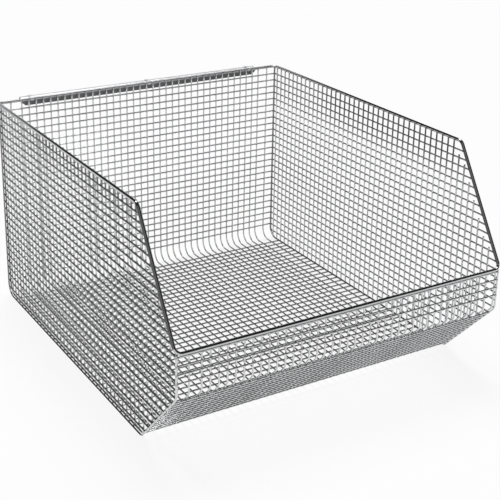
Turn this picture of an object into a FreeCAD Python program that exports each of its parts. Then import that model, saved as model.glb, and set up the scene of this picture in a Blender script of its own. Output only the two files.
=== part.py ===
# Welded wire mesh bin with a hopper front, as used for loose stock in shops and on picking racks.
# One sheet of mesh is bent into the back, floor, slope and front lip.  Two flat mesh panels close
# the sides, a heavier wire runs round the mouth, and a folded steel rail hangs the bin by its back.
#
# Frame in millimetres: X across the bin, Y from the low front to the high back, Z up.  The origin
# is on the ground under the middle of the bin.  Inside a sub-part Y starts at the lip's long wires.
import FreeCAD, Part
import math
import os
import Sketcher

from FreeCAD import Placement, Rotation, Vector

doc = FreeCAD.newDocument("MeshBin")
sheet = doc.addObject("Spreadsheet::Sheet", "Sizes")

sizes = {
    # the basket, between the centre lines of its mesh wires
    "basket_width": 416.0,
    "basket_depth": 480.0,
    "basket_height": 270.0,      # from the ground to the top of the rim
    "lip_height": 138.2,         # from the ground to the top of the rim at the front
    "slope_run": 78.4,           # how far the front slope reaches back
    "slope_rise": 83.4,          # how far the front slope climbs from the floor
    "mouth_setback": 80.5,       # how far behind the front rim the side rims start to fall
    # wire diameters
    "mesh_wire": 2.0,
    "rim_wire": 4.0,
    # spacing of the bent sheet's wires
    "long_pitch": 10.0,
    "outer_inset": 13.4,         # from a side panel to the outer long wire beside it
    "back_pitch": 9.46,
    "back_drop": 11.1,           # from the rim down to the first cross wire of the back
    "floor_pitch": 10.84,
    "floor_start": 22.3,         # from the back down to the first cross wire of the floor
    "slope_pitch": 9.3,
    "slope_start": 10.0,         # from the slope's lower corner to its first cross wire
    "lip_pitch": 9.8,
    "lip_drop": 3.8,             # from the front rim down to the first cross wire of the lip
    # least straight wire between each panel's last cross wire and the bend beyond it
    "back_margin": 2.0,
    "floor_margin": 8.0,
    "slope_margin": 3.0,
    "lip_margin": 4.0,
    # spacing of the side panels' wires
    "upright_pitch": 10.4,
    "upright_start": 8.3,        # from the back to the first upright
    "level_pitch": 9.46,
    "level_drop": 11.1,          # from the rim down to the first level wire
    "short_gap": 11.0,           # least drop from the sloping rim to a short upright's top
    # bend radii, on the wire's centre line
    "back_bend": 14.0,
    "slope_bend": 10.0,
    "lip_bend": 10.0,
    "rim_bend": 8.0,
    # folded hanging rail
    "rail_length": 356.0,
    "rail_sheet": 1.2,
    "rail_slot": 7.0,
    "rail_drop": 10.6,
    "rail_bend": 1.2,
    "rail_crop": 5.0,            # corners cropped off the rail's two lower edges
    # straps that hold the rail to the rim
    "clip_width": 5.0,
    "clip_sheet": 1.0,
    "clip_seat": 7.0,            # how far a clip lies on the rail's top
    "clip_wrap": 1.5,            # how far a clip reaches below the middle of the rim wire
    "clip_reach": 16.5,          # mesh cells from the middle to an outer clip
}

for row, (alias, size) in enumerate(sizes.items(), start=1):
    sheet.set(f"A{row}", alias)
    sheet.set(f"B{row}", str(size))
    sheet.setAlias(f"B{row}", alias)
doc.recompute()

# Places worked out from the sizes, as expressions.  Heights are above the ground, depths are from
# the lip's long wires towards the back.
placeLip = "-(Sizes.basket_depth + 2 * Sizes.rail_sheet + Sizes.rail_slot) / 2"
wireRadius = "Sizes.mesh_wire / 2"
rimRadius = "Sizes.rim_wire / 2"
rimOffset = "(Sizes.mesh_wire + Sizes.rim_wire) / 2"
floorHeight = "1.5 * Sizes.mesh_wire"
rimHeight = "(Sizes.basket_height - Sizes.rim_wire / 2)"
frontRimHeight = "(Sizes.lip_height - Sizes.rim_wire / 2)"
slopeAngle = "atan(Sizes.slope_rise / Sizes.slope_run)"
rimDrop = f"({rimHeight} - {frontRimHeight})"
rimAngle = f"atan({rimDrop} / Sizes.mouth_setback)"
sidePlane = "Sizes.basket_width / 2"


def number(expression):
    result = sheet.evalExpression(str(expression))
    return float(getattr(result, "Value", result))


def originPlane(body, role):
    return next(item for item in body.Origin.OriginFeatures if item.Role == role)


def newBody(label, across="0"):
    """A body whose own frame stands on the ground at the lip, moved sideways by an expression."""
    body = doc.addObject("PartDesign::Body", label)
    body.Label = label
    body.AllowCompound = True
    body.setExpression("Placement.Base.x", across)
    body.setExpression("Placement.Base.y", placeLip)
    return body


def newSketch(body, name, role, offset="0"):
    """A sketch on one of the body's own origin planes, lifted off it by an expression."""
    sketch = body.newObject("Sketcher::SketchObject", name)
    sketch.AttachmentSupport = (originPlane(body, role), [""])
    sketch.MapMode = "FlatFace"
    sketch.setExpression("AttachmentOffset.Base.z", offset)
    return sketch


def bindConstraint(sketch, constraint, expression):
    index = sketch.addConstraint(constraint)
    sketch.setExpression(f"Constraints[{index}]", str(expression))


def drawCircle(sketch, across, up, radius):
    """A circle held by the expressions for its centre and its radius."""
    centre = Vector(number(across), number(up), 0)
    circle = sketch.addGeometry(Part.Circle(centre, Vector(0, 0, 1), number(radius)), False)
    bindConstraint(sketch, Sketcher.Constraint("Radius", circle, number(radius)), radius)
    bindConstraint(sketch, Sketcher.Constraint("DistanceX", -1, 1, circle, 3, centre.x), across)
    bindConstraint(sketch, Sketcher.Constraint("DistanceY", -1, 1, circle, 3, centre.y), up)


def drawRounded(sketch, corners, closed):
    """A run of lines through corners (across, up, bend radius or None), with tangent arcs."""
    points = [Vector(number(across), number(up), 0) for across, up, bend in corners]
    marks = []
    for point, (across, up, bend) in zip(points, corners):
        mark = sketch.addGeometry(Part.Point(point), True)
        bindConstraint(sketch, Sketcher.Constraint("DistanceX", -1, 1, mark, 1, point.x), across)
        bindConstraint(sketch, Sketcher.Constraint("DistanceY", -1, 1, mark, 1, point.y), up)
        marks.append(mark)

    count = len(points)
    trims = []
    for index, (across, up, bend) in enumerate(corners):
        if bend is None:
            trims.append(0.0)
            continue
        before = (points[index] - points[index - 1]).normalize()
        after = (points[(index + 1) % count] - points[index]).normalize()
        trims.append(number(bend) * math.tan(before.getAngle(after) / 2))

    lines = []
    for index in range(count if closed else count - 1):
        following = (index + 1) % count
        along = (points[following] - points[index]).normalize()
        start = points[index] + along * trims[index]
        end = points[following] - along * trims[following]
        line = sketch.addGeometry(Part.LineSegment(start, end), False)
        for place, mark in ((1, marks[index]), (2, marks[following])):
            bend = corners[index if place == 1 else following][2]
            if bend is None:
                sketch.addConstraint(Sketcher.Constraint("Coincident", line, place, mark, 1))
            else:
                sketch.addConstraint(Sketcher.Constraint("PointOnObject", mark, 1, line))
        lines.append(line)

    for index, (across, up, bend) in enumerate(corners):
        if bend is None:
            continue
        before = (points[index] - points[index - 1]).normalize()
        after = (points[(index + 1) % count] - points[index]).normalize()
        start = points[index] - before * trims[index]
        end = points[index] + after * trims[index]
        halfTurn = before.getAngle(after) / 2
        inward = (after - before).normalize()
        middle = points[index] + inward * number(bend) * (1 / math.cos(halfTurn) - 1)
        arc = sketch.addGeometry(Part.Arc(start, middle, end), False)
        turnsLeft = before.cross(after).z > 0
        first, last = (1, 2) if turnsLeft else (2, 1)
        lineBefore = lines[index - 1]
        lineAfter = lines[index]
        sketch.addConstraint(Sketcher.Constraint("Tangent", lineBefore, 2, arc, first))
        sketch.addConstraint(Sketcher.Constraint("Tangent", lineAfter, 1, arc, last))
        bindConstraint(sketch, Sketcher.Constraint("Radius", arc, number(bend)), bend)


def patternAlong(body, feature, sketch, axis, span, count, backwards=False):
    """Repeat a feature along an axis of its sketch, over a span."""
    pattern = body.newObject("PartDesign::LinearPattern", body.Label + "_row")
    pattern.Originals = [feature]
    pattern.Direction = (sketch, [axis])
    pattern.Reversed = backwards
    pattern.setExpression("Length", span)
    pattern.setExpression("Occurrences", count)
    body.Tip = pattern
    return pattern


# ---------------------------------------------------------------- bent sheet: long wires
def sheetCorners(top, frontTop, inset="0"):
    """Side view of the bent sheet, moved inward from the long wires' centre line by an inset."""
    floor = f"{floorHeight} + ({inset})"
    return [
        (f"Sizes.basket_depth - ({inset})", top, None),
        (f"Sizes.basket_depth - ({inset})", floor, f"Sizes.back_bend - ({inset})"),
        (f"Sizes.slope_run + ({inset}) * tan({slopeAngle} / 2)", floor,
         f"Sizes.slope_bend - ({inset})"),
        (inset, f"{floorHeight} + Sizes.slope_rise + ({inset}) * tan(45 deg - {slopeAngle} / 2)",
         f"Sizes.lip_bend - ({inset})"),
        (inset, frontTop, None),
    ]


def longWires(label, first, span, count, top, frontTop):
    """Long wires that run down the back, along the floor, up the slope and up the lip."""
    body = newBody(label, first)
    path = newSketch(body, label + "_path", "YZ_Plane")
    drawRounded(path, sheetCorners(top, frontTop), closed=False)
    section = newSketch(body, label + "_section", "XY_Plane", top)
    drawCircle(section, "0", "Sizes.basket_depth", wireRadius)
    doc.recompute()
    wire = body.newObject("PartDesign::AdditivePipe", label + "_wire")
    wire.Profile = section
    wire.Spine = (path, [f"Edge{edge + 1}" for edge in range(len(path.Shape.Edges))])
    body.Tip = wire
    doc.recompute()
    if count != "1":
        patternAlong(body, wire, section, "H_Axis", span, count)
    return body


outerPlace = f"({sidePlane} - Sizes.outer_inset)"
wiresEachSide = f"floor({outerPlace} / Sizes.long_pitch - 1)"
evenReach = f"{wiresEachSide} * Sizes.long_pitch"
longWires("sheet_long_wires", f"-{evenReach}", f"2 * {evenReach}", f"(2 * {wiresEachSide} + 1)",
          "Sizes.basket_height", "Sizes.lip_height")
for side, sign in (("left", "-1"), ("right", "1")):
    longWires(f"{side}_outer_long_wire", f"{sign} * {outerPlace}", "0", "1",
              "Sizes.basket_height", "Sizes.lip_height")
    longWires(f"{side}_corner_wire", f"{sign} * {sidePlane}", "0", "1",
              "Sizes.basket_height - Sizes.rim_wire", "Sizes.lip_height - Sizes.rim_wire")


# ---------------------------------------------------------------- bent sheet: cross wires
def crossWires(label, depth, height, axis, pitch, count, turn=None):
    """Straight wires across the bin, on the outer side of the long wires."""
    body = newBody(label)
    section = newSketch(body, label + "_section", "YZ_Plane")
    if turn is None:
        drawCircle(section, depth, height, wireRadius)
    else:
        drawCircle(section, "0", "0", wireRadius)
        body.setExpression("Placement.Base.y", f"{placeLip} + {depth}")
        body.setExpression("Placement.Base.z", height)
        body.Placement.Rotation = Rotation(Vector(1, 0, 0), -1)
        body.setExpression("Placement.Rotation.Angle", turn)
    doc.recompute()
    wire = body.newObject("PartDesign::Pad", label + "_wire")
    wire.Profile = section
    wire.Midplane = True
    wire.setExpression("Length", "Sizes.basket_width + Sizes.mesh_wire")
    body.Tip = wire
    doc.recompute()
    patternAlong(body, wire, section, axis, f"{pitch} * ({count} - 1)", count, backwards=True)
    return body


def rowCount(room, pitch):
    return f"(floor(({room}) / {pitch}) + 1)"


backRoom = (f"{rimHeight} - Sizes.back_drop - {floorHeight} - Sizes.back_bend"
            " - Sizes.back_margin")
crossWires("back_cross_wires", "Sizes.basket_depth + Sizes.mesh_wire",
           f"{rimHeight} - Sizes.back_drop", "V_Axis", "Sizes.back_pitch",
           rowCount(backRoom, "Sizes.back_pitch"))

slopeTrim = f"Sizes.slope_bend * tan({slopeAngle} / 2)"
lipTrim = f"Sizes.lip_bend * tan(45 deg - {slopeAngle} / 2)"
floorRoom = (f"Sizes.basket_depth - Sizes.floor_start - Sizes.slope_run - {slopeTrim}"
             " - Sizes.floor_margin")
crossWires("floor_cross_wires", "Sizes.basket_depth - Sizes.floor_start", wireRadius,
           "H_Axis", "Sizes.floor_pitch", rowCount(floorRoom, "Sizes.floor_pitch"))

slopeLength = "sqrt(Sizes.slope_run ^ 2 + Sizes.slope_rise ^ 2)"
slopeRoom = f"{slopeLength} - Sizes.slope_start - {lipTrim} - Sizes.slope_margin"
slopeDepth = (f"Sizes.slope_run - Sizes.slope_start * cos({slopeAngle})"
              f" - Sizes.mesh_wire * sin({slopeAngle})")
slopeHeight = (f"{floorHeight} + Sizes.slope_start * sin({slopeAngle})"
               f" - Sizes.mesh_wire * cos({slopeAngle})")
crossWires("slope_cross_wires", slopeDepth, slopeHeight, "H_Axis", "Sizes.slope_pitch",
           rowCount(slopeRoom, "Sizes.slope_pitch"), turn=f"-{slopeAngle}")

lipRoom = (f"{frontRimHeight} - Sizes.lip_drop - {floorHeight} - Sizes.slope_rise - {lipTrim}"
           " - Sizes.lip_margin")
crossWires("lip_cross_wires", "-Sizes.mesh_wire", f"{frontRimHeight} - Sizes.lip_drop",
           "V_Axis", "Sizes.lip_pitch", rowCount(lipRoom, "Sizes.lip_pitch"))


# ---------------------------------------------------------------- side panels
def sideOutline(name, rimOut, inset):
    """A prism across the bin that side wires are cut to: under the rim, inside the bent sheet."""
    body = newBody(name)
    outline = newSketch(body, name + "_outline", "YZ_Plane")
    front = f"-{rimOffset}"
    rimTop = f"{rimHeight} + ({rimOut})"
    fallTop = (f"{frontRimHeight} + (({inset}) - ({front})) * tan({rimAngle})"
               f" + ({rimOut}) / cos({rimAngle})")
    corners = sheetCorners(rimTop, fallTop, inset)
    corners.append((f"{front} + Sizes.mouth_setback - ({rimOut}) * tan({rimAngle} / 2)", rimTop,
                    f"Sizes.rim_bend + ({rimOut})"))
    drawRounded(outline, corners, closed=True)
    doc.recompute()
    prism = body.newObject("PartDesign::Pad", name + "_prism")
    prism.Profile = outline
    prism.Midplane = True
    prism.setExpression("Length", "2 * Sizes.basket_width")
    body.Tip = prism
    doc.recompute()
    return body


uprightOutline = sideOutline("upright_outline", rimRadius, wireRadius)
levelOutline = sideOutline("level_outline", f"-{rimRadius}", f"-{wireRadius}")


def trimmed(label, wires, outline):
    """The node itself: a set of wires cut to the outline of the side."""
    common = doc.addObject("Part::Common", label)
    common.Label = label
    common.Base = wires
    common.Tool = outline
    return common


mouthDepth = f"(Sizes.mouth_setback - {rimOffset})"
tallCount = rowCount(f"Sizes.basket_depth - Sizes.upright_start - {mouthDepth}",
                     "Sizes.upright_pitch")
allUprights = rowCount("Sizes.basket_depth - Sizes.upright_start - Sizes.upright_pitch",
                       "Sizes.upright_pitch")
levelCount = rowCount(f"{rimHeight} - Sizes.level_drop - {floorHeight} - Sizes.mesh_wire",
                      "Sizes.level_pitch")


def tallUprights(side, sign):
    body = newBody(f"{side}_upright_stock")
    section = newSketch(body, body.Name + "_section", "XY_Plane")
    drawCircle(section, f"{sign} * {sidePlane}", "Sizes.basket_depth - Sizes.upright_start",
               wireRadius)
    doc.recompute()
    wire = body.newObject("PartDesign::Pad", body.Name + "_wire")
    wire.Profile = section
    wire.setExpression("Length", "Sizes.basket_height")
    body.Tip = wire
    doc.recompute()
    patternAlong(body, wire, section, "V_Axis", f"Sizes.upright_pitch * ({tallCount} - 1)",
                 tallCount, backwards=True)
    return trimmed(f"{side}_tall_uprights", body, uprightOutline)


def shortUprights(side, sign):
    """Uprights under the sloping rim, each cut half a cell above a level wire."""
    stubs = []
    for index in range(int(number(tallCount)), int(number(allUprights))):
        depth = f"(Sizes.basket_depth - Sizes.upright_start - {index} * Sizes.upright_pitch)"
        highest = (f"({frontRimHeight} + ({depth} + {rimOffset}) * tan({rimAngle})"
                   " - Sizes.short_gap)")
        level = f"ceil(({rimHeight} - Sizes.level_drop - {highest}) / Sizes.level_pitch)"
        stub = doc.addObject("Part::Cylinder", f"{side}_short_upright_{index}")
        stub.setExpression("Radius", wireRadius)
        stub.setExpression("Height", f"{rimHeight} - Sizes.level_drop"
                           f" - ({level} - 0.5) * Sizes.level_pitch")
        stub.setExpression("Placement.Base.x", f"{sign} * {sidePlane}")
        stub.setExpression("Placement.Base.y", f"{placeLip} + {depth}")
        stubs.append(stub)
    stock = doc.addObject("Part::Compound", f"{side}_short_upright_stock")
    stock.Links = stubs
    return trimmed(f"{side}_short_uprights", stock, uprightOutline)


def levelWires(side, sign):
    """Level wires on the outer side of the uprights, from the back to the rim or the lip."""
    body = newBody(f"{side}_level_stock")
    section = newSketch(body, body.Name + "_section", "XZ_Plane")
    drawCircle(section, f"{sign} * ({sidePlane} + Sizes.mesh_wire)",
               f"{rimHeight} - Sizes.level_drop", wireRadius)
    doc.recompute()
    wire = body.newObject("PartDesign::Pad", body.Name + "_wire")
    wire.Profile = section
    wire.Midplane = True
    wire.setExpression("Length", "2 * Sizes.basket_depth + 2 * Sizes.rim_wire")
    body.Tip = wire
    doc.recompute()
    patternAlong(body, wire, section, "V_Axis", f"Sizes.level_pitch * ({levelCount} - 1)",
                 levelCount, backwards=True)
    return trimmed(f"{side}_level_wires", body, levelOutline)


# ---------------------------------------------------------------- rim
def bentLoop(corners, radius):
    """A closed wire of straight runs and tangent arcs, from the middle of its first run."""
    count = len(corners)
    middle = (corners[0] + corners[-1]) / 2
    edges = []
    last = middle
    for index, corner in enumerate(corners):
        before = (corner - corners[index - 1]).normalize()
        after = (corners[(index + 1) % count] - corner).normalize()
        halfTurn = before.getAngle(after) / 2
        trim = radius * math.tan(halfTurn)
        start = corner - before * trim
        end = corner + after * trim
        inward = (after - before).normalize()
        top = corner + inward * radius * (1 / math.cos(halfTurn) - 1)
        edges.append(Part.LineSegment(last, start).toShape())
        edges.append(Part.Arc(start, top, end).toShape())
        last = end
    edges.append(Part.LineSegment(last, middle).toShape())
    return Part.Wire(edges)


def rimWire():
    """One heavy wire round the mouth: level along the back and sides, then down to the lip."""
    offset = number(rimOffset)
    across = number(sidePlane) + offset
    lip = number(placeLip)
    back = lip + number("Sizes.basket_depth") + offset
    front = lip - offset
    mouth = front + number("Sizes.mouth_setback")
    high = number(rimHeight)
    low = number(frontRimHeight)
    corners = [
        Vector(across, back, high), Vector(across, mouth, high), Vector(across, front, low),
        Vector(-across, front, low), Vector(-across, mouth, high), Vector(-across, back, high),
    ]
    path = doc.addObject("Part::Feature", "rim_path")
    path.Shape = bentLoop(corners, number("Sizes.rim_bend"))
    section = doc.addObject("Part::Circle", "rim_section")
    section.setExpression("Radius", rimRadius)
    section.Placement = Placement(Vector(0, back, high), Rotation(Vector(0, 1, 0), 90))
    rim = doc.addObject("Part::Sweep", "rim_wire")
    rim.Label = "rim_wire"
    rim.Sections = [section]
    rim.Spine = (path, [f"Edge{edge + 1}" for edge in range(len(path.Shape.Edges))])
    rim.Solid = True
    rim.Frenet = False
    return rim


# ---------------------------------------------------------------- hanging rail and its clips
railFront = "(Sizes.basket_depth + Sizes.mesh_wire / 2 + Sizes.rim_wire)"


def hangingRail():
    """A steel strip folded into a hook: a web behind the rim, a flat top and a lip behind."""
    body = newBody("hanging_rail")
    profile = newSketch(body, "rail_profile", "YZ_Plane")
    webBack = f"{railFront} + Sizes.rail_sheet"
    lipFront = f"{webBack} + Sizes.rail_slot"
    lipBack = f"{lipFront} + Sizes.rail_sheet"
    bottom = "Sizes.basket_height - Sizes.rail_drop"
    top = "Sizes.basket_height"
    under = "Sizes.basket_height - Sizes.rail_sheet"
    outerBend = "Sizes.rail_bend + Sizes.rail_sheet"
    innerBend = "Sizes.rail_bend"
    corners = [
        (railFront, bottom, None), (railFront, top, outerBend), (lipBack, top, outerBend),
        (lipBack, bottom, None), (lipFront, bottom, None), (lipFront, under, innerBend),
        (webBack, under, innerBend), (webBack, bottom, None),
    ]
    drawRounded(profile, corners, closed=True)
    doc.recompute()
    strip = body.newObject("PartDesign::Pad", "rail_strip")
    strip.Profile = profile
    strip.Midplane = True
    strip.setExpression("Length", "Sizes.rail_length")
    body.Tip = strip
    doc.recompute()
    end = number("Sizes.rail_length") / 2
    lowest = number(bottom)
    cropped = []
    for index, edge in enumerate(strip.Shape.Edges, start=1):
        middle = edge.CenterOfMass
        alongDepth = abs(edge.tangentAt(edge.FirstParameter).y) > 0.999
        if alongDepth and abs(abs(middle.x) - end) < 0.01 and abs(middle.z - lowest) < 0.01:
            cropped.append(f"Edge{index}")
    crop = body.newObject("PartDesign::Chamfer", "rail_crop")
    crop.Base = (strip, cropped)
    crop.setExpression("Size", "Sizes.rail_crop")
    body.Tip = crop
    return body


def railClips():
    """Short straps over the rim, between long wires, that tie the rail to the rim."""
    clips = []
    rimFront = "(Sizes.basket_depth + Sizes.mesh_wire / 2)"
    wrapEnd = f"{rimHeight} - Sizes.clip_wrap"
    seatEnd = f"{railFront} + Sizes.clip_seat"
    places = {"left": "-Sizes.clip_reach", "middle": "0.5", "right": "Sizes.clip_reach"}
    for name, cells in places.items():
        body = newBody(f"{name}_rail_clip", f"{cells} * Sizes.long_pitch")
        profile = newSketch(body, f"{name}_clip_profile", "YZ_Plane")
        top = "Sizes.basket_height + Sizes.clip_sheet"
        outer = f"{rimFront} - Sizes.clip_sheet"
        corners = [
            (seatEnd, "Sizes.basket_height", None), (seatEnd, top, None),
            (outer, top, f"{rimRadius} + Sizes.clip_sheet"), (outer, wrapEnd, None),
            (rimFront, wrapEnd, None), (rimFront, "Sizes.basket_height", rimRadius),
        ]
        drawRounded(profile, corners, closed=True)
        doc.recompute()
        strap = body.newObject("PartDesign::Pad", f"{name}_clip_strap")
        strap.Profile = profile
        strap.Midplane = True
        strap.setExpression("Length", "Sizes.clip_width")
        body.Tip = strap
        clips.append(body)
    return clips


nodes = [doc.getObject(name) for name in (
    "sheet_long_wires", "left_outer_long_wire", "right_outer_long_wire", "left_corner_wire",
    "right_corner_wire", "back_cross_wires", "floor_cross_wires", "slope_cross_wires",
    "lip_cross_wires")]
for side, sign in (("left", "-1"), ("right", "1")):
    nodes.append(tallUprights(side, sign))
    nodes.append(shortUprights(side, sign))
    nodes.append(levelWires(side, sign))
nodes.append(rimWire())
nodes.append(hangingRail())
nodes.extend(railClips())
doc.recompute()

# ---------------------------------------------------------------- check and write
for item in doc.Objects:
    if {"Invalid", "Error"} & set(item.State):
        raise RuntimeError(f"{item.Name} failed: {item.State}")
for node in nodes:
    if node.Shape.isNull() or not node.Shape.isValid():
        raise RuntimeError(f"{node.Label} has no valid shape")

os.makedirs("parts", exist_ok=True)
for node in nodes:
    node.Shape.exportStep(f"parts/{node.Label}.step")
    print(f"{node.Label}: {len(node.Shape.Solids)} solids, {node.Shape.Volume:.0f} mm3")
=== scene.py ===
import math
import bpy
from mathutils import Matrix, Vector


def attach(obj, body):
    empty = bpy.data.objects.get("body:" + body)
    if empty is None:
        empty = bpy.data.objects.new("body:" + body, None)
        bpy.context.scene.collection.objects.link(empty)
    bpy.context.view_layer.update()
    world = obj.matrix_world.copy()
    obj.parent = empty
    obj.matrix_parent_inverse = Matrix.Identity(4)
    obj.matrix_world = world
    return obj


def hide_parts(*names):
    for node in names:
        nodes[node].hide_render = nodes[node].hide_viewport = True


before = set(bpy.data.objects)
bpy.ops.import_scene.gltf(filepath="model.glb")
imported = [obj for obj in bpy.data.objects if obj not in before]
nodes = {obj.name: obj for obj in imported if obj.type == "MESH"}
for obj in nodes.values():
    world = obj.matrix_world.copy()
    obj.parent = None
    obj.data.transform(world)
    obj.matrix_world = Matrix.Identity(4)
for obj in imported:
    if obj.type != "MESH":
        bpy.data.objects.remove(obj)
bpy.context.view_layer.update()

# where the wires of each panel lie, in metres, with pairs as (depth, height)
mesh = {
    "radius": 0.001,
    "columns": 18,             # even long wires each side of the middle one
    "columnPitch": 0.010,
    "outerColumn": 0.1946,
    "side": 0.208,             # uprights, and the corner wires inside the seams
    "sidePlane": 0.209,        # where uprights and level wires touch
    "edge": 0.210,             # level wires, and the edge wires outside the seams
    "backPlane": 0.2363,       # where the long wires and cross wires of the back touch
    "backTop": 0.2569,
    "backPitch": 0.00946,
    "backRows": 26,
    "floorPlane": 0.002,
    "floorBack": 0.2130,
    "floorPitch": 0.01084,
    "floorRows": 34,
    "slopeFoot": (-0.1663, 0.003),
    "slopeHead": (-0.2447, 0.0864),
    "slopeStart": 0.010,       # way up the slope to its first cross wire
    "slopePitch": 0.0093,
    "slopeRows": 11,
    "lipPlane": -0.2457,
    "lipTop": 0.1324,
    "lipPitch": 0.0098,
    "lipRows": 4,
    "uprightBack": 0.2270,
    "uprightPitch": 0.0104,
    "tallUprights": 38,
    "shortUprights": 7,
    "levelTop": 0.2569,
    "levelPitch": 0.00946,
    "levelRows": 27,
    "rimTop": 0.268,
    "rimFront": (-0.2477, 0.1362),
    "rimCorner": (-0.1672, 0.268),
    "shortGap": 0.011,         # least drop from the falling rim to a short upright's top weld
}
slopeRun = mesh["slopeHead"][0] - mesh["slopeFoot"][0]
slopeRise = mesh["slopeHead"][1] - mesh["slopeFoot"][1]
slopeLength = math.hypot(slopeRun, slopeRise)
slopeAngle = math.degrees(math.atan2(slopeRise, -slopeRun))
rimFall = ((mesh["rimCorner"][1] - mesh["rimFront"][1])
           / (mesh["rimCorner"][0] - mesh["rimFront"][0]))


class Value:
    # an output socket that can be added, multiplied and so on
    def __init__(self, maker, socket):
        self.maker = maker
        self.socket = socket

    def __add__(self, other):
        return self.maker.combine("ADD", self, other)

    def __radd__(self, other):
        return self.maker.combine("ADD", other, self)

    def __sub__(self, other):
        return self.maker.combine("SUBTRACT", self, other)

    def __rsub__(self, other):
        return self.maker.combine("SUBTRACT", other, self)

    def __mul__(self, other):
        return self.maker.combine("MULTIPLY", self, other)

    def __rmul__(self, other):
        return self.maker.combine("MULTIPLY", other, self)

    def __truediv__(self, other):
        return self.maker.combine("DIVIDE", self, other)

    def __rtruediv__(self, other):
        return self.maker.combine("DIVIDE", other, self)

    def __gt__(self, other):
        return self.maker.combine("GREATER_THAN", self, other)

    def __lt__(self, other):
        return self.maker.combine("LESS_THAN", self, other)

    def limited(self):
        # held between 0 and 1
        return self.maker.combine("MINIMUM", self.maker.combine("MAXIMUM", self, 0.0), 1.0)


class NodeMaker:
    def __init__(self, tree):
        self.tree = tree
        tree.nodes.clear()

    def add(self, kind, settings=None, sockets=None, output=None):
        # a node with its settings made first, and its output of that name or its first one
        node = self.tree.nodes.new(kind)
        for name, setting in (settings or {}).items():
            setattr(node, name, setting)
        for name, value in (sockets or {}).items():
            socket = next(item for item in node.inputs if item.identifier == name)
            if isinstance(value, Value):
                self.tree.links.new(value.socket, socket)
            else:
                socket.default_value = value
        if not node.outputs:
            return None
        chosen = [item for item in node.outputs if item.identifier == output]
        return Value(self, (chosen or [item for item in node.outputs if item.enabled])[0])

    def outputsOf(self, value):
        # every output of the value's node by its name
        return {item.name: Value(self, item) for item in value.socket.node.outputs}

    def combine(self, operation, first, second):
        return self.add("ShaderNodeMath", {"operation": operation},
                        {"Value": first, "Value_001": second})

    def greatest(self, *values):
        result = values[0]
        for value in values[1:]:
            result = self.combine("MAXIMUM", result, value)
        return result

    def mixColours(self, factor, first, second):
        return self.add("ShaderNodeMix", {"data_type": "RGBA"},
                        {"Factor_Float": factor, "A_Color": first, "B_Color": second},
                        "Result_Color")

    def noise(self, place, scale, detail, stretch=(1, 1, 1)):
        stretched = self.add("ShaderNodeVectorMath", {"operation": "MULTIPLY"},
                             {"Vector": place, "Vector_001": stretch})
        return self.add("ShaderNodeTexNoise", {},
                        {"Vector": stretched, "Scale": scale, "Detail": detail}, "Fac")


plating = {
    "bright": (0.760, 0.764, 0.772, 1),
    "dull": (0.560, 0.564, 0.572, 1),
    # the colour of the painted shade and painted dark reflections
    "paintedShade": (0.420, 0.422, 0.428, 1),
    "heat": (0.280, 0.280, 0.284, 1),      # the tint that welding leaves
    "roughness": 0.06,
    "patchiness": 0.06,                    # how much the roughness varies in patches
}
grain = {
    "lines": (900, 3.0),       # noise of drawn lines, patches and fine specks: scale, detail
    "patches": (60, 2.0),
    "specks": (3200, 1.0),
    "middle": 0.5,             # the value that the noise varies about
    "toneOfLines": 0.7,
    "toneOfPatches": 0.5,
    "toneLoss": 0.1,
    "roughOfLines": 0.05,
    "heatLeast": 0.55,
    "heatOfPatches": 0.45,
    "heatRough": 0.15,
    "bumpOfLines": 0.7,
    "bumpOfSpecks": 0.3,
    "bumpStrength": 0.35,
    "bumpDepth": 0.00004,
}


def platedWire(name, along, spotsAt=None, tones=plating, paintedShadeAt=None, dullAt=None):
    # plated steel with lines drawn along it, darker beside its welds and with painted shade
    # where a mask says
    material = bpy.data.materials.new(name)
    material.use_nodes = True
    maker = NodeMaker(material.node_tree)
    place = maker.add("ShaderNodeTexCoord", {}, {}, "Object")
    axes = maker.outputsOf(maker.add("ShaderNodeSeparateXYZ", {}, {"Vector": place}, "X"))
    lines = maker.noise(place, *grain["lines"], along)
    patches = maker.noise(place, *grain["patches"])
    specks = maker.noise(place, *grain["specks"])
    tone = (lines * grain["toneOfLines"] + patches * grain["toneOfPatches"]
            - grain["toneLoss"])
    colour = maker.mixColours(tone, tones["dull"], tones["bright"])
    roughness = (tones["roughness"] + (patches - grain["middle"]) * tones["patchiness"]
                 + (lines - grain["middle"]) * grain["roughOfLines"])
    if paintedShadeAt:
        # painted shade and painted dark reflections, where the mask says
        colour = maker.mixColours(paintedShadeAt(maker, axes), colour, tones["paintedShade"])
    if spotsAt:
        heat = spotsAt(maker, axes) * (grain["heatLeast"] + grain["heatOfPatches"] * patches)
        colour = maker.mixColours(heat, colour, tones["heat"])
        roughness = roughness + heat * grain["heatRough"]
    if dullAt:
        roughness = roughness + dullAt(maker, axes) * tones["dullness"]
    height = lines * grain["bumpOfLines"] + specks * grain["bumpOfSpecks"]
    bump = maker.add("ShaderNodeBump", {}, {
        "Strength": grain["bumpStrength"], "Distance": grain["bumpDepth"],
        "Height": height}, "Normal")
    surface = maker.add("ShaderNodeBsdfPrincipled", {}, {
        "Metallic": 1.0, "Base Color": colour, "Roughness": roughness, "Normal": bump})
    maker.add("ShaderNodeOutputMaterial", {}, {"Surface": surface})
    return material


# where the heat tint of the welds falls, in metres
spots = {
    "reach": 0.0022,           # how far a weld tints the wire beside it
    "alone": 0.1,              # a pitch so wide that the row has one weld on the bin
    "evenHalf": 0.185,         # half the width that the even long wires fill
    "backFrom": 0.2335,        # the straight runs of the bent sheet
    "backAbove": 0.017,
    "floorBelow": 0.0045,
    "floorTo": -0.15,
    "slopeFrom": -0.16,
    "slopeClimb": (0.008, 0.106),
    "lipFrom": -0.2427,
    "lipAbove": 0.0985,
}


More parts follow.
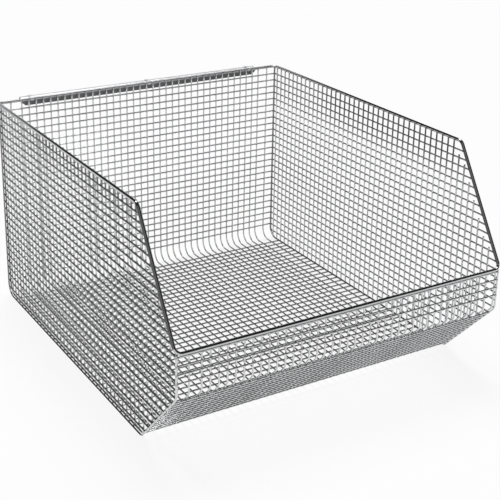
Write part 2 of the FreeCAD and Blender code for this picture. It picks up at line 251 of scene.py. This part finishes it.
def rowSpots(maker, place, start, pitch):
    # 1 at each weld of a row, falling to 0 beside it
    away = maker.combine("PINGPONG", place - start, pitch / 2)
    return maker.combine("MAXIMUM", 1 - away / spots["reach"], 0.0)


def columnSpots(maker, axes):
    # cross wires: a weld at each long wire, at the outer ones and at the sides
    across = maker.combine("ABSOLUTE", axes["X"], 0.0)
    even = (rowSpots(maker, axes["X"], 0.0, mesh["columnPitch"])
            * (across < spots["evenHalf"]))
    outer = rowSpots(maker, across, mesh["outerColumn"], spots["alone"])
    side = rowSpots(maker, across, mesh["side"], spots["alone"])
    return maker.greatest(even, outer, side)


def sheetSpots(maker, axes):
    # long wires: welds in steps down the back, along the floor, up the slope and up the lip
    y, z = axes["Y"], axes["Z"]
    back = (rowSpots(maker, z, mesh["backTop"], mesh["backPitch"])
            * (y > spots["backFrom"]) * (z > spots["backAbove"]))
    floor = (rowSpots(maker, y, mesh["floorBack"], mesh["floorPitch"])
             * (z < spots["floorBelow"]) * (y > spots["floorTo"]))
    lip = (rowSpots(maker, z, mesh["lipTop"], mesh["lipPitch"])
           * (y < spots["lipFrom"]) * (z > spots["lipAbove"]))
    climbed = ((y - mesh["slopeFoot"][0]) * (slopeRun / slopeLength)
               + (z - mesh["slopeFoot"][1]) * (slopeRise / slopeLength))
    low, high = spots["slopeClimb"]
    slope = (rowSpots(maker, climbed, mesh["slopeStart"], mesh["slopePitch"])
             * (climbed > low) * (climbed < high) * (y < spots["slopeFrom"]))
    return maker.greatest(back, floor, lip, slope)


def uprightSpots(maker, axes):
    return rowSpots(maker, axes["Z"], mesh["levelTop"], mesh["levelPitch"])


def levelSpots(maker, axes):
    return rowSpots(maker, axes["Y"], mesh["uprightBack"], mesh["uprightPitch"])


# where the painted shade, the painted dark reflections and the dulling begin, over what length
# they grow, and how strong they are
shadeAndDullness = {
    "floorBelow": 0.0045,
    "floorShade": 0.75,
    "seamFrom": 0.233,
    "seamBack": 0.8,
    "seamFloor": 1.0,
    "frontFrom": 0.14,
    "frontOver": 0.26,
    "topsFrom": 0.135,
    "topsOver": 0.05,
    "topsAbove": {"left": 0.234, "right": 0.212},
    "topsUp": 0.035,
    "fallFrom": -0.166,
    "fallAbove": 0.142,
    "backFrom": 0.02,
    "backOver": 0.20,
    "webBelow": 0.2685,
}


def shadedFloor(maker, axes):
    # painted shade on the wires of the floor
    return (axes["Z"] < shadeAndDullness["floorBelow"]) * shadeAndDullness["floorShade"]


def shadedSeams(maker, axes):
    # painted shade on the wires of the seams, down the back and along the floor
    return maker.greatest((axes["Y"] > shadeAndDullness["seamFrom"]) * shadeAndDullness["seamBack"],
                          (axes["Z"] < shadeAndDullness["floorBelow"]) * shadeAndDullness["seamFloor"])


def shadedFront(maker, axes):
    # painted shade on the left level wires, darker from the middle to the front
    return ((shadeAndDullness["frontFrom"] - axes["Y"]) / shadeAndDullness["frontOver"]).limited()


def darkReflectedTops(side):
    # painted dark reflection on the uprights just under the rim, from the middle to the front
    def reflectedPart(maker, axes):
        high = ((axes["Z"] - shadeAndDullness["topsAbove"][side]) / shadeAndDullness["topsUp"]).limited()
        near = ((shadeAndDullness["topsFrom"] - axes["Y"]) / shadeAndDullness["topsOver"]).limited()
        return high * near
    return reflectedPart


def darkReflectedFall(maker, axes):
    # painted dark reflection on the rim where it falls from the side to the lip
    return (axes["Y"] < shadeAndDullness["fallFrom"]) * (axes["Z"] > shadeAndDullness["fallAbove"])


def dulledBack(maker, axes):
    # the rim's back half, less polished towards the back
    return ((axes["Y"] - shadeAndDullness["backFrom"]) / shadeAndDullness["backOver"]).limited()


def shadedWebs(maker, axes):
    # painted shade on the rail's upright webs, darker than its top
    return axes["Z"] < shadeAndDullness["webBelow"]


# the darkest colour of each kind of wire below is its painted shade, on the uprights and the
# rim a painted dark reflection
uprightTones = dict(plating, bright=(0.70, 0.704, 0.712, 1), dull=(0.50, 0.504, 0.512, 1),
                    paintedShade=(0.14, 0.141, 0.144, 1))
# the left uprights: the uprights' tones painted lighter than on the right, as painted light,
# and rougher
litUprightTones = dict(uprightTones, bright=(0.88, 0.884, 0.892, 1), dull=(0.74, 0.744, 0.752, 1),
                 roughness=0.42)
levelTones = dict(plating, bright=(0.68, 0.684, 0.692, 1), dull=(0.52, 0.524, 0.532, 1))
# the left level wires: the plating painted darker than on the right level wires, as painted
# shade
shadedLevelTones = dict(plating, bright=(0.48, 0.483, 0.49, 1), dull=(0.34, 0.343, 0.35, 1),
                 paintedShade=(0.22, 0.221, 0.224, 1))
seamTones = dict(plating, paintedShade=(0.10, 0.101, 0.104, 1))
rimTones = dict(plating, bright=(0.60, 0.604, 0.612, 1), dull=(0.46, 0.464, 0.472, 1),
                paintedShade=(0.12, 0.121, 0.124, 1), dullness=0.42)
railTones = dict(plating, bright=(0.74, 0.743, 0.75, 1), dull=(0.64, 0.642, 0.65, 1),
                 paintedShade=(0.20, 0.201, 0.205, 1), roughness=0.50, patchiness=0.12)

# how the drawn lines of each kind of wire are stretched along X, Y and Z
alongX = (0.05, 1, 1)
alongY = (1, 0.05, 1)
alongZ = (1, 1, 0.05)
alongSheet = (1, 0.4, 0.4)
alongRim = (0.2, 0.2, 0.2)
alongRail = (0.03, 1, 1)
alongClip = (1, 0.1, 1)

crossPlating = platedWire("crossWirePlating", alongX, columnSpots, paintedShadeAt=shadedFloor)
longPlating = platedWire("longWirePlating", alongSheet, sheetSpots, paintedShadeAt=shadedFloor)
leftUprightPlating = platedWire("leftUprightPlating", alongZ, uprightSpots, litUprightTones,
                                darkReflectedTops("left"))
rightUprightPlating = platedWire("rightUprightPlating", alongZ, uprightSpots, uprightTones,
                                 darkReflectedTops("right"))
seamPlating = platedWire("seamPlating", alongSheet, sheetSpots, seamTones, shadedSeams)
finishes = {
    "back_cross_wires": crossPlating,
    "floor_cross_wires": crossPlating,
    "slope_cross_wires": crossPlating,
    "lip_cross_wires": crossPlating,
    "sheet_long_wires": longPlating,
    "left_outer_long_wire": longPlating,
    "right_outer_long_wire": longPlating,
    "left_corner_wire": seamPlating,
    "right_corner_wire": seamPlating,
    "left_tall_uprights": leftUprightPlating,
    "left_short_uprights": leftUprightPlating,
    "right_tall_uprights": rightUprightPlating,
    "right_short_uprights": rightUprightPlating,
    "left_level_wires": platedWire("leftLevelPlating", alongY, levelSpots, shadedLevelTones,
                                   shadedFront),
    "right_level_wires": platedWire("rightLevelPlating", alongY, levelSpots, levelTones),
    "rim_wire": platedWire("rimPlating", alongRim, None, rimTones, darkReflectedFall, dulledBack),
    "hanging_rail": platedWire("railSheet", alongRail, None, railTones, shadedWebs),
}
for side in ("left", "middle", "right"):
    finishes[f"{side}_rail_clip"] = platedWire(f"{side}ClipSheet", alongClip, None, railTones)
# the loaded meshes keep their slots, which get the new finishes
for node, finish in finishes.items():
    for slot in nodes[node].material_slots:
        slot.material = finish
print("plated", len(finishes), "nodes")


def repeatPiece(piece, steps):
    # the active piece in rows, one (offset, count) after another
    for offset, count in steps:
        row = piece.modifiers.new("row", "ARRAY")
        row.use_relative_offset = False
        row.use_constant_offset = True
        row.constant_offset_displace = offset
        row.count = count
        bpy.ops.object.modifier_apply(modifier=row.name)


weld = {
    "spread": 0.00088,
    "thick": 0.00050,
    "rimSpread": 0.00100,
    "rimDrop": 0.0006,         # how far below the middle of the rim its beads lie
    "sides": 8,
    "rings": 4,
    "onBack": ("X", 90),       # turns that lay a bead on a wall across Y, on one across X
    "onSide": ("Y", 90),       # and on the slope
    "onSlope": ("X", slopeAngle),
}
weldTones = dict(plating, bright=(0.32, 0.32, 0.326, 1), dull=(0.18, 0.18, 0.184, 1),
                 roughness=0.34, patchiness=0.2)
weldMetal = platedWire("weldMetal", (1, 1, 1), None, weldTones)


def weldField(at, turn, steps, spread=weld["spread"]):
    # one flattened bead laid on its panel and repeated in rows
    bpy.ops.object.select_all(action="DESELECT")
    bpy.ops.mesh.primitive_uv_sphere_add(segments=weld["sides"], ring_count=weld["rings"],
                                         radius=spread, location=(0, 0, 0))
    field = bpy.context.object
    bpy.ops.object.mode_set(mode="EDIT")
    bpy.ops.transform.resize(value=(1, 1, weld["thick"] / spread))
    if turn:
        bpy.ops.transform.rotate(value=math.radians(turn[1]), orient_axis=turn[0],
                                 center_override=(0, 0, 0))
    bpy.ops.transform.translate(value=at)
    bpy.ops.object.mode_set(mode="OBJECT")
    repeatPiece(field, steps)
    return field


def joinWelds(name, fields):
    bpy.ops.object.select_all(action="DESELECT")
    for field in fields:
        field.select_set(True)
    bpy.context.view_layer.objects.active = fields[0]
    bpy.ops.object.join()
    piece = bpy.context.object
    piece.name = name
    bpy.ops.object.shade_smooth()
    piece.data.materials.append(weldMetal)
    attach(piece, "root")


def acrossPair(x):
    # the step that repeats a weld at -x on the other side
    return ((2 * x, 0, 0), 2)


evenRow = ((mesh["columnPitch"], 0, 0), 2 * mesh["columns"] + 1)
firstColumn = -mesh["columns"] * mesh["columnPitch"]


def sheetWelds(name, turn, first, outward, step, rows):
    # welds of one panel of the bent sheet, with first, outward and step as (depth, height)
    down = ((0, *step), rows)
    fields = [weldField((firstColumn, *first), turn, [evenRow, down])]
    for x in (mesh["outerColumn"], mesh["side"]):
        fields.append(weldField((-x, *first), turn, [acrossPair(x), down]))
    # where the cross wires end at the edge wires
    x = mesh["sidePlane"]
    atEnds = Vector(first) + Vector(outward) * mesh["radius"]
    fields.append(weldField((-x, *atEnds), weld["onSide"], [acrossPair(x), down]))
    joinWelds(name, fields)


climb = Vector((slopeRun, slopeRise)) / slopeLength
slopeOutward = Vector((-slopeRise, slopeRun)) / slopeLength
slopeFirst = (Vector(mesh["slopeFoot"]) + climb * mesh["slopeStart"]
              + slopeOutward * mesh["radius"])
sheetWelds("backWelds", weld["onBack"], (mesh["backPlane"], mesh["backTop"]), (1, 0),
           (0, -mesh["backPitch"]), mesh["backRows"])
sheetWelds("floorWelds", None, (mesh["floorBack"], mesh["floorPlane"]), (0, -1),
           (-mesh["floorPitch"], 0), mesh["floorRows"])
sheetWelds("slopeWelds", weld["onSlope"], slopeFirst, slopeOutward,
           climb * mesh["slopePitch"], mesh["slopeRows"])
sheetWelds("lipWelds", weld["onBack"], (mesh["lipPlane"], mesh["lipTop"]), (-1, 0),
           (0, -mesh["lipPitch"]), mesh["lipRows"])

sideEnds = {
    "slopeClear": 0.0025,      # least height of a weld above the slope's middle line
    "slopeLevels": 8,          # level wires that end beside the slope
    "lipFirst": 14,            # highest level wire that ends beside the lip
    "lipLevels": 4,
}


def levelHeight(row):
    return mesh["levelTop"] - row * mesh["levelPitch"]


def slopeHeight(depth):
    return mesh["slopeFoot"][1] + (mesh["slopeFoot"][0] - depth) * slopeRise / -slopeRun


def mouthHeight(depth):
    return mesh["rimFront"][1] + (depth - mesh["rimFront"][0]) * rimFall


def mouthDepth(height):
    return mesh["rimFront"][0] + (height - mesh["rimFront"][1]) / rimFall


def sideWelds(name, side):
    # welds of one side panel, -1 for the left and 1 for the right
    x = side * mesh["sidePlane"]
    pitch = mesh["levelPitch"]
    levels = mesh["levelRows"]
    tall = mesh["tallUprights"]
    onSide, onBack, onSlope = weld["onSide"], weld["onBack"], weld["onSlope"]
    fields = [weldField((x, mesh["uprightBack"], mesh["levelTop"]), onSide,
                        [((0, -mesh["uprightPitch"], 0), tall), ((0, 0, -pitch), levels)])]
    for index in range(tall, tall + mesh["shortUprights"]):
        depth = mesh["uprightBack"] - index * mesh["uprightPitch"]
        lowest = slopeHeight(depth) + sideEnds["slopeClear"]
        highest = mouthHeight(depth) - mesh["shortGap"]
        rows = [row for row in range(levels) if lowest < levelHeight(row) <= highest]
        fields.append(weldField((x, depth, levelHeight(rows[0])), onSide,
                                [((0, 0, -pitch), len(rows))]))
    # where the level wires cross the corner wire and end at the edge wire, down the back,
    # down the lip and up the slope
    radius = mesh["radius"]
    edge = side * mesh["edge"]
    backTop = mesh["levelTop"]
    lipTop = levelHeight(sideEnds["lipFirst"])
    foot = levelHeight(levels - 1)
    depth = mesh["slopeFoot"][0] + (foot - mesh["slopeFoot"][1]) * slopeRun / slopeRise
    outside = depth - radius * slopeLength / slopeRise
    atBack = [((0, 0, -pitch), levels - 1)]
    atLip = [((0, 0, -pitch), sideEnds["lipLevels"])]
    upSlope = [((0, pitch * slopeRun / slopeRise, pitch), sideEnds["slopeLevels"])]
    fields += [
        weldField((x, mesh["backPlane"] - radius, backTop), onSide, atBack),
        weldField((x, mesh["lipPlane"] + radius, lipTop), onSide, atLip),
        weldField((x, depth, foot), onSide, upSlope),
        weldField((edge, mesh["backPlane"], backTop), onBack, atBack),
        weldField((edge, mesh["lipPlane"], lipTop), onBack, atLip),
        weldField((edge, outside, foot), onSlope, upSlope),
    ]
    joinWelds(name, fields)


sideWelds("leftWelds", -1)
sideWelds("rightWelds", 1)

# the ends of the level wires at the falling rim
mouthEnds = {"out": 0.0022, "behind": 0.0021, "levels": 13}


def rimWelds():
    # where the ends of the mesh wires meet the rim
    spread = weld["rimSpread"]
    outer = mesh["outerColumn"]
    side = mesh["sidePlane"]
    top = mesh["rimTop"] - weld["rimDrop"]
    front = mesh["rimFront"][1] - weld["rimDrop"]
    fields = []
    for depth, height in ((mesh["backPlane"], top), (mesh["lipPlane"], front)):
        fields.append(weldField((firstColumn, depth, height), weld["onBack"], [evenRow],
                                spread))
        fields.append(weldField((-outer, depth, height), weld["onBack"],
                                [acrossPair(outer)], spread))
    forward = ((0, -mesh["uprightPitch"], 0), mesh["tallUprights"])
    fields.append(weldField((-side, mesh["uprightBack"], top), weld["onSide"],
                            [forward, acrossPair(side)], spread))
    outside = mesh["side"] + mouthEnds["out"]
    behind = mouthDepth(mesh["levelTop"]) + mouthEnds["behind"]
    down = mesh["levelPitch"]
    downFall = ((0, -down / rimFall, -down), mouthEnds["levels"])
    fields.append(weldField((-outside, behind, mesh["levelTop"]), weld["onBack"],
                            [downFall, acrossPair(outside)], spread))
    joinWelds("rimWelds", fields)


rimWelds()
print("welded the crossings")

drawing = {
    "sides": 12,
    "turnSteps": 8,
    "cutEdge": 0.0002,         # bevel of a cut end, in metres
    "smooth": math.radians(60),
}
# side views as (depth, height), from the top of the back to the top of the lip
longWire = {
    "corners": ((0.2353, 0.2685), (0.2353, 0.0030), (-0.1663, 0.0030), (-0.2447, 0.0864),
                (-0.2447, 0.1367)),
    "bends": (0.014, 0.010, 0.010),
}
edgeWire = {
    "corners": ((0.2373, 0.2665), (0.2373, 0.00102), (-0.1672, 0.00102), (-0.2467, 0.0856),
                (-0.2467, 0.1348)),
    "bends": (0.016, 0.012, 0.012),
}


def closeWire():
    # closes the ends, turns the faces outwards and leaves the place in the mesh
    bpy.ops.mesh.select_all(action="SELECT")
    bpy.ops.mesh.fill_holes(sides=0)
    bpy.ops.mesh.select_all(action="SELECT")
    bpy.ops.mesh.normals_make_consistent(inside=False)
    bpy.ops.object.mode_set(mode="OBJECT")
    bpy.ops.object.transform_apply(location=True, rotation=True, scale=True)
    bpy.ops.object.shade_smooth_by_angle(angle=drawing["smooth"])


def bentWire(name, across, wire):
    # a ring drawn out along straight runs and spun round the bends between them
    corners = [Vector((across, *corner)) for corner in wire["corners"]]
    bpy.ops.object.select_all(action="DESELECT")
    bpy.ops.mesh.primitive_circle_add(vertices=drawing["sides"], radius=mesh["radius"],
                                      location=corners[0])
    piece = bpy.context.object
    piece.name = name
    bpy.ops.object.mode_set(mode="EDIT")
    bpy.ops.mesh.select_all(action="SELECT")
    reached = corners[0]
    for index, bend in enumerate(wire["bends"], start=1):
        before = (corners[index] - corners[index - 1]).normalized()
        after = (corners[index + 1] - corners[index]).normalized()
        turn = before.angle(after)
        tangent = math.tan(turn / 2)
        start = corners[index] - before * bend * tangent
        centre = start + before.cross(Vector((1, 0, 0))) * bend
        bpy.ops.mesh.extrude_region_move(TRANSFORM_OT_translate={"value": start - reached})
        bpy.ops.mesh.spin(steps=drawing["turnSteps"], angle=turn, center=centre, axis=(1, 0, 0))
        reached = corners[index] + after * bend * tangent
    bpy.ops.mesh.extrude_region_move(TRANSFORM_OT_translate={"value": corners[-1] - reached})
    closeWire()
    return piece


def keepWire(piece, finish, node=None):
    # finished and riding on the bin, in place of the node if one is named
    piece.data.materials.clear()
    piece.data.materials.append(finish)
    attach(piece, "root")
    if node:
        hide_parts(node)


def copyAcross(name, distance):
    # a copy of the active piece on the other side
    bpy.ops.object.duplicate(linked=False)
    piece = bpy.context.object
    piece.name = name
    bpy.ops.object.mode_set(mode="EDIT")
    bpy.ops.mesh.select_all(action="SELECT")
    bpy.ops.transform.translate(value=(distance, 0, 0))
    bpy.ops.object.mode_set(mode="OBJECT")
    return piece


longWires = bentWire("longWires", firstColumn, longWire)
repeatPiece(longWires, [evenRow])
keepWire(longWires, longPlating, "sheet_long_wires")

outer = mesh["outerColumn"]
keepWire(bentWire("leftOuterLongWire", -outer, longWire), longPlating, "left_outer_long_wire")
keepWire(copyAcross("rightOuterLongWire", 2 * outer), longPlating, "right_outer_long_wire")

edge = mesh["edge"]
keepWire(bentWire("leftEdgeWire", -edge, edgeWire), seamPlating)
keepWire(copyAcross("rightEdgeWire", 2 * edge), seamPlating)
print("bent the long wires and closed the seams")

uprights = {"foot": 0.0040, "top": 0.2685}


def standUprights(name):
    # one upright with its cut ends bevelled, repeated from the back to the front
    tall = uprights["top"] - uprights["foot"]
    bpy.ops.object.select_all(action="DESELECT")
    bpy.ops.mesh.primitive_cylinder_add(
        vertices=drawing["sides"], radius=mesh["radius"], depth=tall,
        location=(-mesh["side"], mesh["uprightBack"], uprights["foot"] + tall / 2))
    piece = bpy.context.object
    piece.name = name
    bpy.ops.object.mode_set(mode="EDIT")
    bpy.ops.mesh.select_all(action="DESELECT")
    bpy.ops.mesh.edges_select_sharp(sharpness=drawing["smooth"])
    bpy.ops.mesh.bevel(offset=drawing["cutEdge"], segments=1)
    closeWire()
    repeatPiece(piece, [((0, -mesh["uprightPitch"], 0), mesh["tallUprights"])])
    return piece


keepWire(standUprights("leftTallUprights"), leftUprightPlating, "left_tall_uprights")
keepWire(copyAcross("rightTallUprights", 2 * mesh["side"]), rightUprightPlating,
         "right_tall_uprights")
print("stood", 2 * mesh["tallUprights"], "uprights")

paper = {"size": 16.0, "shade": (0.93, 0.93, 0.93, 1), "glow": 0.85}


def layFloor():
    # pale paper that shows white and keeps the shadow
    bpy.ops.object.select_all(action="DESELECT")
    bpy.ops.mesh.primitive_plane_add(size=paper["size"], location=(0, 0, 0))
    ground = bpy.context.object
    ground.name = "ground"
    material = bpy.data.materials.new("paperFloor")
    material.use_nodes = True
    maker = NodeMaker(material.node_tree)
    rays = maker.outputsOf(maker.add("ShaderNodeLightPath", {}, {}, "Is Camera Ray"))
    looked = maker.greatest(rays["Is Camera Ray"], rays["Is Glossy Ray"],
                            rays["Is Transmission Ray"])
    matt = maker.add("ShaderNodeBsdfDiffuse", {}, {"Color": paper["shade"]})
    white = maker.add("ShaderNodeEmission", {}, {"Color": (1, 1, 1, 1), "Strength": 1.0})
    mixed = maker.add("ShaderNodeMixShader", {}, {
        "Fac": looked * paper["glow"], "Shader": matt, "Shader_001": white})
    maker.add("ShaderNodeOutputMaterial", {}, {"Surface": mixed})
    ground.data.materials.append(material)


sky = {
    "zenith": (0.020, 0.020, 0.021, 1),
    "horizon": (1, 1, 1, 1),
    "fade": (0.10, 0.20),      # heights on the unit sphere between which white turns dark
}


def paintSky():
    world = bpy.data.worlds.new("studio")
    bpy.context.scene.world = world
    world.use_nodes = True
    maker = NodeMaker(world.node_tree)
    place = maker.add("ShaderNodeTexCoord", {}, {}, "Generated")
    height = maker.add("ShaderNodeSeparateXYZ", {}, {"Vector": place}, "Z")
    low, high = sky["fade"]
    raised = maker.add("ShaderNodeMapRange", {"interpolation_type": "SMOOTHSTEP"}, {
        "Value": height, "From Min": low, "From Max": high})
    backdrop = maker.add("ShaderNodeBackground", {}, {
        "Color": maker.mixColours(raised, sky["horizon"], sky["zenith"]), "Strength": 1.0})
    maker.add("ShaderNodeOutputWorld", {}, {"Surface": backdrop})


layFloor()
paintSky()
print("laid the floor under a pale sky")

lamps = {
    "softTop": {"place": (0.4, 1.4, 3.7), "spread": 35, "strength": 2.6},
    "softFront": {"place": (-2.4, -3.2, 2.6), "spread": 60, "strength": 0.8},
}
for name, lamp in lamps.items():
    bpy.ops.object.light_add(type="SUN", location=lamp["place"])
    light = bpy.context.object
    light.name = name
    light.data.angle = math.radians(lamp["spread"])
    light.data.energy = lamp["strength"]
    aim = -Vector(lamp["place"])
    light.rotation_euler = aim.to_track_quat("-Z", "Y").to_euler()
print("lit with", len(lamps), "lamps")

viewpoint = {
    "place": (-0.6697, -1.1187, 0.6743),
    "azimuth": -30.72,
    "elevation": 19.38,
    "roll": 0.75,
    "sensor": 36,
    "lens": 81.79,
    "shift": (0.04, -0.16),
    "farthest": 60,
}


def placeCamera():
    turned = math.radians(viewpoint["azimuth"])
    raised = math.radians(viewpoint["elevation"])
    forward = Vector((-math.sin(turned) * math.cos(raised),
                      math.cos(turned) * math.cos(raised), -math.sin(raised)))
    right = Vector((math.cos(turned), math.sin(turned), 0))
    up = right.cross(forward)
    facing = Matrix((right, up, -forward)).transposed()
    facing = facing @ Matrix.Rotation(math.radians(viewpoint["roll"]), 3, "Z")
    bpy.ops.object.camera_add(location=viewpoint["place"], rotation=facing.to_euler())
    camera = bpy.context.object
    camera.data.sensor_width = viewpoint["sensor"]
    camera.data.lens = viewpoint["lens"]
    camera.data.shift_x, camera.data.shift_y = viewpoint["shift"]
    camera.data.clip_end = viewpoint["farthest"]
    bpy.context.scene.camera = camera


placeCamera()
print("placed the camera")
bpy.context.scene.view_settings.view_transform = "Standard"
